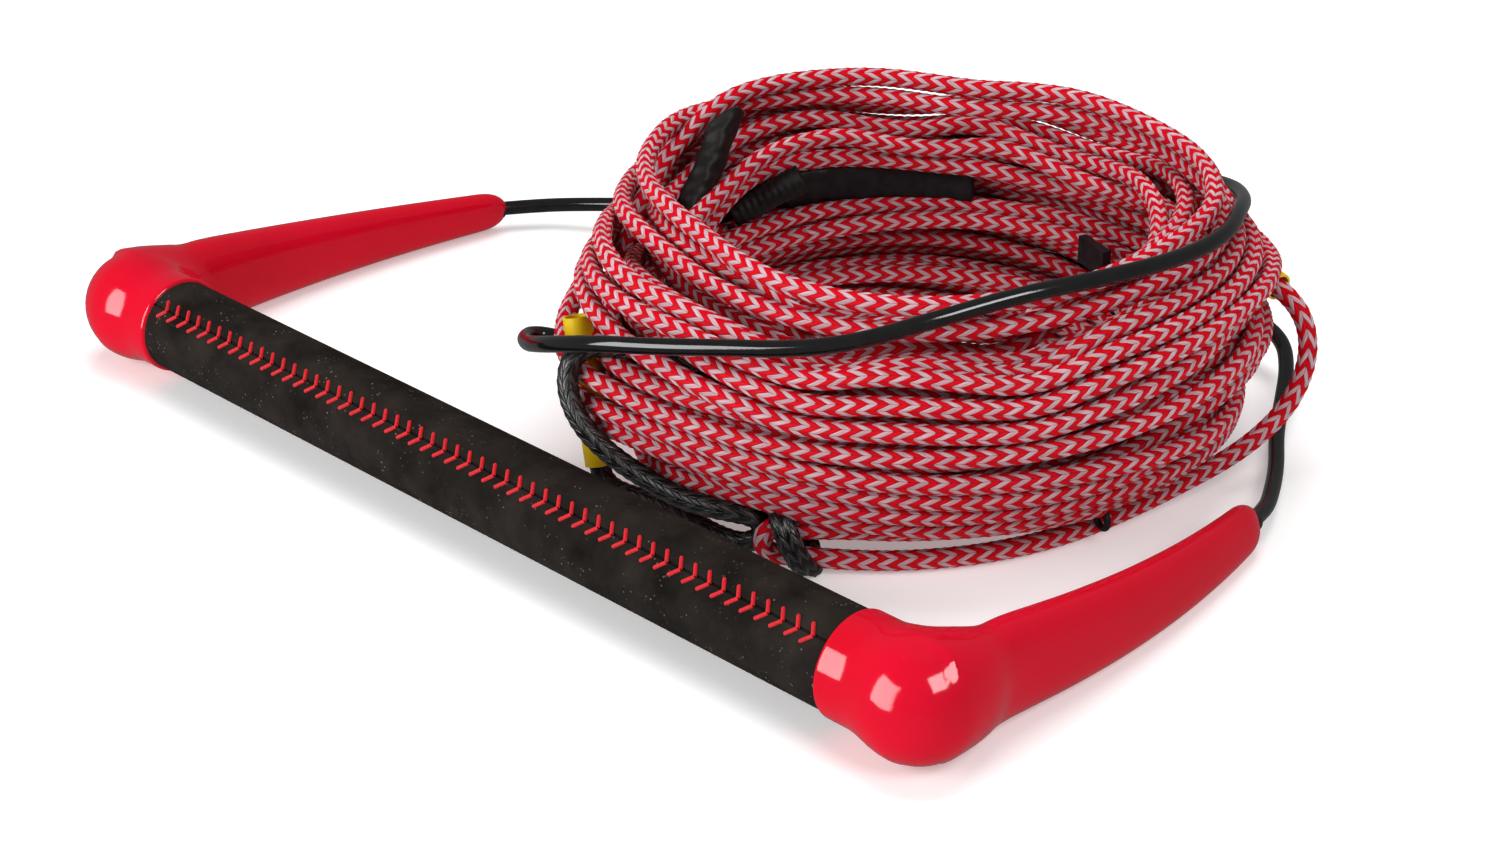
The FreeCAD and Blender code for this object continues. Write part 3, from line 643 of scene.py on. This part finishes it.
def closest(a0, a1, b0, b1):
    """Nearest points of pairs of segments, as shares along each."""
    u, v, w = a1 - a0, b1 - b0, a0 - b0
    a = np.einsum("ij,ij->i", u, u)
    b = np.einsum("ij,ij->i", u, v)
    c = np.einsum("ij,ij->i", v, v)
    d = np.einsum("ij,ij->i", u, w)
    e = np.einsum("ij,ij->i", v, w)
    den = np.maximum(a * c - b * b, 1e-9)
    s = np.clip((b * e - c * d) / den, 0, 1)
    t = np.clip((b * s + e) / c, 0, 1)
    s = np.clip((b * t - d) / a, 0, 1)
    return s, t


def near_pairs(p, statics, radius):
    """Segments that may touch: turn with turn, and turn with what doesn't give way."""
    turn_reach, other_reach = 27.0, 16.0
    s0, s1, sr = statics
    mid = (p[:-1] + p[1:]) / 2
    near = np.linalg.norm(mid[:, None] - mid[None], axis=2) < turn_reach
    i, j = np.nonzero(np.triu(near, 3))
    smid = (s0 + s1) / 2
    reach = np.linalg.norm(s1 - s0, axis=1) / 2 + sr + other_reach
    si, sj = np.nonzero(np.linalg.norm(mid[:, None] - smid[None], axis=2) < reach[None] + radius)
    return i, j, si, sj


def keep_length(p, rest):
    """Moves the points in place, so that each segment comes nearer to its own length."""
    firmness = 0.6
    for start in (0, 1):
        a, b = p[start:-1:2], p[start + 1::2]
        n = min(len(a), len(b))
        a, b = a[:n], b[:n]
        gap = b - a
        size = np.linalg.norm(gap, axis=1)
        want = rest[start::2][:n]
        move = gap * ((size - want) / np.maximum(size, 1e-6) * 0.5)[:, None]
        p[start:-1:2][:n] += move * firmness
        p[start + 1::2][:n] -= move * firmness


def gaps(p, i, j, q0, q1):
    """Shares along two sets of segments where they are closest, the gap there and its size."""
    s, t = closest(p[i], p[i + 1], q0[j], q1[j])
    gap = (p[i] + (p[i + 1] - p[i]) * s[:, None]) - (q0[j] + (q1[j] - q0[j]) * t[:, None])
    return s, t, gap, np.linalg.norm(gap, axis=1)


def add_push(move, weight, index, share, push):
    """Adds a push to the points of the segments that it acts on."""
    for k in range(3):
        move[:, k] += np.bincount(index, share * push[:, k], len(move))
    weight += np.bincount(index, share, len(move))


def clear_contacts(p, pairs, statics, radius):
    """The points after one push apart, of turns from turns and from what doesn't give way."""
    strength = 1.25
    i, j, si, sj = pairs
    s0, s1, sr = statics
    move = np.zeros_like(p)
    weight = np.zeros(len(p))
    s, t, gap, size = gaps(p, i, j, p[:-1], p[1:])
    deep = 2 * radius - size
    hit = deep > 0
    push = gap[hit] / np.maximum(size[hit], 1e-6)[:, None] * (deep[hit] * 0.5)[:, None]
    for index, share, sign in ((i, 1 - s, 1), (i + 1, s, 1), (j, 1 - t, -1), (j + 1, t, -1)):
        add_push(move, weight, index[hit], share[hit], push * sign)
    s, t, gap, size = gaps(p, si, sj, s0, s1)
    deep = radius + sr[sj] - size
    hit = deep > 0
    push = gap[hit] / np.maximum(size[hit], 1e-6)[:, None] * deep[hit][:, None]
    for index, share in ((si, 1 - s), (si + 1, s)):
        add_push(move, weight, index[hit], share[hit], push)
    return p + move / np.maximum(weight, 1.0)[:, None] * strength


def hold_in_wall(p):
    """Moves the points halfway back between the coil's hollow and its outside, in place."""
    flat = p[:, :2] - COIL
    size = np.linalg.norm(flat, axis=1)
    angle = np.arctan2(flat[:, 1], flat[:, 0])
    outside = wall_outside(p[:, 2], angle) - ROPE / 2
    kept = np.clip(size, HOLLOW - HOLLOW_UNDERCUT * undercut(p[:, 2], angle), outside)
    p[:, :2] += flat * ((kept - size) / size * 0.5)[:, None]


def settle(home, hold, statics, rounds=420):
    """Presses the turns apart round by round, while they sag and are pulled back towards home.

    Some places still overlap at the end; the deepest is printed.
    """
    p = home.copy()
    rest = np.linalg.norm(np.diff(home, axis=0), axis=1)
    statics = tuple(np.concatenate([s[k] for s in statics]) for k in range(3))
    radius = ROPE / 2 * 1.02
    renewal = 12
    first_pull, last_pull, sag, spread = 0.02, 0.004, 0.06, 0.35
    for step in range(rounds):
        if step % renewal == 0:
            pairs = near_pairs(p, statics, radius)
        late = step / rounds
        offset = p - home
        pull = (first_pull * (1 - late) + last_pull) * hold
        p = p - pull[:, None] * offset
        p[:, 2] -= sag * (1 - late)
        # Bends spread along the rope.
        offset = p - home
        mean = offset.copy()
        mean[1:-1] = (offset[:-2] + offset[2:]) / 2
        p = p + spread * (mean - offset)
        for _ in range(2):
            keep_length(p, rest)
        for _ in range(2):
            p = clear_contacts(p, pairs, statics, radius)
        p[:, 2] = np.maximum(p[:, 2], radius)
        hold_in_wall(p)
    i, j = pairs[:2]
    deep = ROPE - gaps(p, i, j, p[:-1], p[1:])[3]
    print(f"coil: {len(home)} points, deepest overlap {deep.max():.2f} mm, "
          f"over 0.6 mm at {(deep > 0.6).sum()}")
    return p


def make_coil():
    """The coiled rope, settled and cut into five cords that follow one another."""
    rng = np.random.default_rng(COIL_SEED)
    home, hold = coil_home(rng)
    # The bridle's first and last eight points lie outside the coil.
    statics = [capsule_line(BRIDLE_ROUTE[8:-8], LINE / 2), capsule_line(EYE_ROUTE, ROPE / 2),
               capsule_line(LEAD_ROUTE, LEAD / 2),
               capsule_line(UPPER_SLEEVE, SLEEVE_RADIUS), capsule_line(INNER_SLEEVE, SLEEVE_RADIUS),
               capsule_line([TAG_FOOT, TAG_FOOT + TAG_ALONG * TAG_LENGTH], TAG_RADIUS),
               capsule_line(KEEPER_LINE - [0, 0, 3.5], 2.2), capsule_line(KEEPER_LINE + [0, 0, 3.5], 2.2)]
    settled = settle(home, hold, statics)
    line = spline_points(settled, 4)
    rings = braid_rings(line, ROPE)
    sections = 5
    length = (len(rings) - 1) // sections // 4 * 4
    for number in range(sections):
        first = number * length
        last = first + length if number < sections - 1 else len(rings) - 1
        piece = braid(f"rope_turns_{number + 1}", rings, ROPE, ROPE_YARN, first, last)
        stand_in(piece, "rope_coil")


make_coil()


# ---------------------------------------------------------------- other cords
def route_length(points):
    """A line's length in metres."""
    return float(np.linalg.norm(np.diff(np.asarray(points, float), axis=0), axis=1).sum()) * MM


bridle = nurbs("bridle_cord", BRIDLE_ROUTE, bevel=LINE / 2, material=LINE_BLACK, resolution=6)
bpy.context.scene.collection.objects.link(bridle)
stand_in(bridle, "bridle_line")
route_length(spline_points(BRIDLE_ROUTE))


def lay_braid(name, route, diameter, yarn, node):
    """A braided cord along a route, in place of its CAD node."""
    line = spline_points(route)
    piece = braid(name, braid_rings(line, diameter), diameter, yarn)
    stand_in(piece, node)


lay_braid("eye_braid", EYE_ROUTE, ROPE, ROPE_YARN, "rope_eye_run")
lay_braid("lead_braid", LEAD_ROUTE, LEAD, LEAD_YARN, "lead_rope")


def hitch_line():
    """Two slanting wraps of the black rope round the red eye's two strands."""
    along = unit([0.78, 0.62, 0.0])
    side = unit([-0.62, 0.78, 0.0])
    up = unit(np.array([0.0, 0.0, 1.0]) - 0.42 * along)
    foot = np.array([80.4, 45.4, 9.6])
    half_width, half_height = 5.6, 9.0
    start, sweep = -0.45 * math.pi, 4.35 * math.pi
    points = []
    for turn in np.linspace(start, start + sweep, 46):
        middle = foot + along * (6.4 * (turn - start) / sweep - 0.3)
        points.append(middle + side * half_width * math.cos(turn) + up * half_height * math.sin(turn))
    return np.array(points)


wraps = braid("hitch_wraps", braid_rings(spline_points(hitch_line()), WRAP), WRAP, LEAD_YARN)
stand_in(wraps, "hitch_knot")


# ---------------------------------------------------------------- arms
ELBOW_X = 172.5
ELBOW_Z = 18.0
ELBOW_RADIUS = 18.0
COLLAR_X = 149.0
COLLAR_RADIUS = 15.9
LIP_RADIUS = 15.0
LIP_DEPTH = 4.0
ROUND_FROM = 143.0
ROUND_LENGTH = 11.8
REACH = 160.0
SQUARENESS = 2.3


def root_swell(y):
    """1 at the grip's axis, fading out along the blade."""
    return np.exp(-(np.clip(y, 0, None) / 19.0) ** 2)


def root_dip(y):
    """1 a little past the elbow, where the blade's top line sinks."""
    return np.exp(-((y - 14.0) / 11.0) ** 2)


def arm_middle(y):
    """The blade's middle, across and up, at a distance from the grip's axis."""
    f = np.clip(y / REACH, 0.0, 0.97)
    across = ELBOW_X + 26.0 * f - 32.6 * f * f + 4.4 * root_swell(y)
    return across, 18.9 - 17.0 * f + 5.4 * f * f - 0.9 * root_dip(y)


def arm_half_size(y):
    """The blade's half width, half height and lean at a distance from the grip's axis."""
    f = np.clip(y / REACH, 0.0, 0.97)
    high = (34.4 - 23.4 * f + 2.3 * f * f) / 2 - 1.3 * root_dip(y)
    wide = (18.3 - 9.6 * f) / 2 + 1.2 * root_swell(y)
    lean = np.radians(-5.0 + 23.5 * f)
    return wide, high, lean


def smooth_union(a, b, k):
    """Two signed distances joined with a fillet of about size k."""
    h = np.clip(0.5 + 0.5 * (b - a) / k, 0, 1)
    return b + (a - b) * h - k * h * (1 - h)


def arm_distance(p):
    """Signed distance, near enough, to the right arm's skin."""
    x, y, z = p[..., 0], p[..., 1], p[..., 2]
    ball = np.sqrt((x - ELBOW_X) ** 2 + y ** 2 + (z - ELBOW_Z) ** 2) - ELBOW_RADIUS
    round_bar = np.sqrt(y ** 2 + (z - ELBOW_Z) ** 2)
    rim = 1.2
    across = round_bar - (COLLAR_RADIUS - rim)
    ahead = COLLAR_X + rim - x
    collar = (np.sqrt(np.maximum(across, 0) ** 2 + np.maximum(ahead, 0) ** 2)
              + np.minimum(np.maximum(across, ahead), 0) - rim)
    collar = np.maximum(collar, x - ELBOW_X)
    cx, cz = arm_middle(y)
    wide, high, lean = arm_half_size(y)
    u, w = x - cx, z - cz
    a = u * np.cos(lean) + w * np.sin(lean)
    b = -u * np.sin(lean) + w * np.cos(lean)
    close = np.sqrt(np.clip(1 - np.clip((y - ROUND_FROM) / ROUND_LENGTH, 0, 1) ** 3.0, 0.0004, 1))
    wide, high = wide * close, high * close
    g = (np.abs(a / wide) ** SQUARENESS + np.abs(b / high) ** SQUARENESS) ** (1 / SQUARENESS)
    blade = (g - 1) * np.minimum(wide, high)
    blade = np.maximum(blade, y - (ROUND_FROM + ROUND_LENGTH))
    blade = np.maximum(blade, -y)
    blend = 3.0 + 7.0 * smooth_step((y - 1.0) / 18.0)
    return smooth_union(smooth_union(collar, ball, 4.0), blade, blend)


def arm_skin(sides=72):
    """Rings of points on the arm's skin, found along rays from a line inside it."""
    rows = []
    corner = 15.0
    mouth = np.linspace(0.05, 1.4, 7)
    behind = np.linspace(2.2, ELBOW_X - corner - COLLAR_X, 9)
    for x in COLLAR_X + np.concatenate([[0.0], mouth, behind]):
        rows.append(((x, 0.0, ELBOW_Z), (1.0, 0.0, 0.0)))
    for turn in np.linspace(0, math.pi / 2, 34)[1:]:
        place = (ELBOW_X - corner + corner * math.sin(turn), corner - corner * math.cos(turn), ELBOW_Z)
        rows.append((place, (math.cos(turn), math.sin(turn), 0.0)))
    for y in np.concatenate([np.linspace(corner, 140, 90)[1:], np.linspace(140, 154.4, 30)[1:]]):
        share = smooth_step((y - corner) / 40.0)
        cx, cz = arm_middle(y)
        ax, az = arm_middle(y + 1.0)
        rows.append(((ELBOW_X + (cx - ELBOW_X) * share, y, ELBOW_Z + (cz - ELBOW_Z) * share),
                     ((ax - cx) * share, 1.0, (az - cz) * share * 0.4)))
    place = np.array([r[0] for r in rows])
    along = unit(np.array([r[1] for r in rows]))
    up = np.array([0, 0, 1.0])
    flat = unit(np.cross(along, up))
    rise = np.cross(flat, along)
    turn = np.arange(sides) * 2 * math.pi / sides
    ray = np.cos(turn)[None, :, None] * flat[:, None] + np.sin(turn)[None, :, None] * rise[:, None]
    reach = np.linspace(0.5, 45, 90)
    value = arm_distance(place[:, None, None] + ray[:, :, None] * reach[None, None, :, None])
    outside = value > 0
    first = np.argmax(outside, axis=2)
    far = reach[first]
    near = np.where(first > 0, reach[np.maximum(first - 1, 0)], 0.0)
    for _ in range(26):
        middle = (near + far) / 2
        inside = arm_distance(place[:, None] + ray * middle[..., None]) < 0
        near = np.where(inside, middle, near)
        far = np.where(inside, far, middle)
    return place[:, None] + ray * near[..., None]


def make_arm(side, sign, skin):
    """One arm, with a lip turned in at the collar's mouth; sign is 1 for the right arm."""
    rows, sides = skin.shape[:2]
    lip = skin[0].copy()
    shrink = LIP_RADIUS / np.maximum(np.sqrt(lip[:, 1] ** 2 + (lip[:, 2] - ELBOW_Z) ** 2), 1e-6)
    lip[:, 0] = COLLAR_X
    lip[:, 1] *= shrink
    lip[:, 2] = ELBOW_Z + (lip[:, 2] - ELBOW_Z) * shrink
    under = lip.copy()
    under[:, 0] = COLLAR_X + LIP_DEPTH
    verts = np.concatenate([under[None], lip[None], skin]).reshape(-1, 3)
    verts[:, 0] *= sign
    faces = [tuple(f) for f in grid_faces(rows + 2, sides)]
    last = (rows + 1) * sides
    faces.append(tuple(range(last, last + sides)))
    faces.append(tuple(range(sides))[::-1])
    if sign < 0:
        faces = [tuple(reversed(f)) for f in faces]
    stand_in(mesh_piece(f"arm_skin_{side}", verts, faces, RED), f"arm_{side}")


right_skin = arm_skin()
make_arm("right", 1, right_skin)
make_arm("left", -1, right_skin)


# ---------------------------------------------------------------- sleeves and strap
upper = soft_tube("sleeve_upper", UPPER_SLEEVE[::-1], (4.2, SLEEVE_RADIUS), FOAM,
                  ((0.22, 0.55, 2, 0.4), (0.16, 1.1, -3, 1.7), (0.3, 0.16, 1, 2.0)), cut=4.5)
inner = soft_tube("sleeve_inner", INNER_SLEEVE, (SLEEVE_RADIUS, SLEEVE_RADIUS), FOAM,
                  ((0.25, 2.6, 0, 0.0), (0.15, 0.5, 2, 1.0)))
strap = soft_tube("keeper_strap", KEEPER_LINE, (1.5, 6.3), STRAP,
                  ((0.35, 0.32, 1, 0.0), (0.25, 0.75, 2, 1.0), (0.2, 1.3, -3, 2.2)), lip=0.5)
stand_in(upper, "loop_sleeve_upper")
stand_in(inner, "loop_sleeve_inner")
stand_in(strap, "rope_keeper")


# ---------------------------------------------------------------- CAD pieces keep their shape
CAD_LOOKS = {
    "bar_tube": METAL, "grip_core": CORE, "bar_foam_fill": CORE, "end_plug_left": PLASTIC,
    "end_plug_right": PLASTIC, "liner_left": PLASTIC, "liner_right": PLASTIC,
    "bridle_inner_run": LINE_BLACK, "grip_cover": SUEDE, "grip_stitching": THREAD,
    "section_tag_left": YELLOW, "section_tag_right": YELLOW, "keeper_tab": STRAP, "whipping_band": STRAP,
}
for node, look in CAD_LOOKS.items():
    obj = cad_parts[node]
    obj.data.materials.clear()
    obj.data.materials.append(look)


# ---------------------------------------------------------------- stage, light and camera
def make_stage():
    """A white floor, slightly lit from within, and a dim white surround."""
    bpy.ops.mesh.primitive_plane_add(size=6.0, location=(0, 0, -0.0002))
    floor = bpy.context.object
    floor.name = "floor"
    material, _, shader, _ = surface("floor_white", (0.82, 0.82, 0.82), 0.8)
    shader.inputs["Emission Color"].default_value = (1.0, 1.0, 1.0, 1.0)
    shader.inputs["Emission Strength"].default_value = 0.26
    floor.data.materials.append(material)
    floor.visible_glossy = False
    world = bpy.data.worlds.new("studio")
    bpy.context.scene.world = world
    world.use_nodes = True
    background = world.node_tree.nodes["Background"]
    background.inputs["Color"].default_value = (1.0, 1.0, 1.0, 1.0)
    background.inputs["Strength"].default_value = 0.18


def area_light(name, place, aim, size, power):
    """A rectangular light that looks at a point."""
    light = bpy.data.lights.new(name, "AREA")
    light.shape = "RECTANGLE"
    light.size, light.size_y = size
    light.energy = power
    obj = bpy.data.objects.new(name, light)
    obj.location = place
    way = Vector(aim) - Vector(place)
    obj.rotation_euler = way.to_track_quat("-Z", "Y").to_euler()
    bpy.context.scene.collection.objects.link(obj)
    return obj


def make_camera():
    """A short telephoto view from the front right and above."""
    camera = bpy.data.cameras.new("camera")
    camera.sensor_width = 36.0
    camera.sensor_fit = "HORIZONTAL"
    camera.lens = 71.208
    camera.clip_start = 0.01
    camera.clip_end = 20.0
    obj = bpy.data.objects.new("camera", camera)
    yaw, pitch = math.radians(44.56), math.radians(27.09)
    ahead = Vector((-math.sin(yaw) * math.cos(pitch), math.cos(yaw) * math.cos(pitch), -math.sin(pitch)))
    obj.location = (0.5986, -0.4951, 0.4312)
    obj.rotation_euler = ahead.to_track_quat("-Z", "Y").to_euler()
    bpy.context.scene.collection.objects.link(obj)
    bpy.context.scene.camera = obj


make_stage()
area_light("key", (-0.30, -1.08, 0.42), (0.0, 0.05, 0.0), (0.95, 0.95), 12.5)
area_light("side", (0.80, -0.03, 0.72), (0.05, 0.1, 0.0), (0.42, 0.42), 3.0)
top = area_light("top", (-0.25, 0.45, 1.5), (0.0, 0.1, 0.0), (1.1, 1.1), 15.0)
top.visible_glossy = False
make_camera()
view = bpy.context.scene.view_settings
view.view_transform = "Standard"
view.look = "Medium High Contrast"
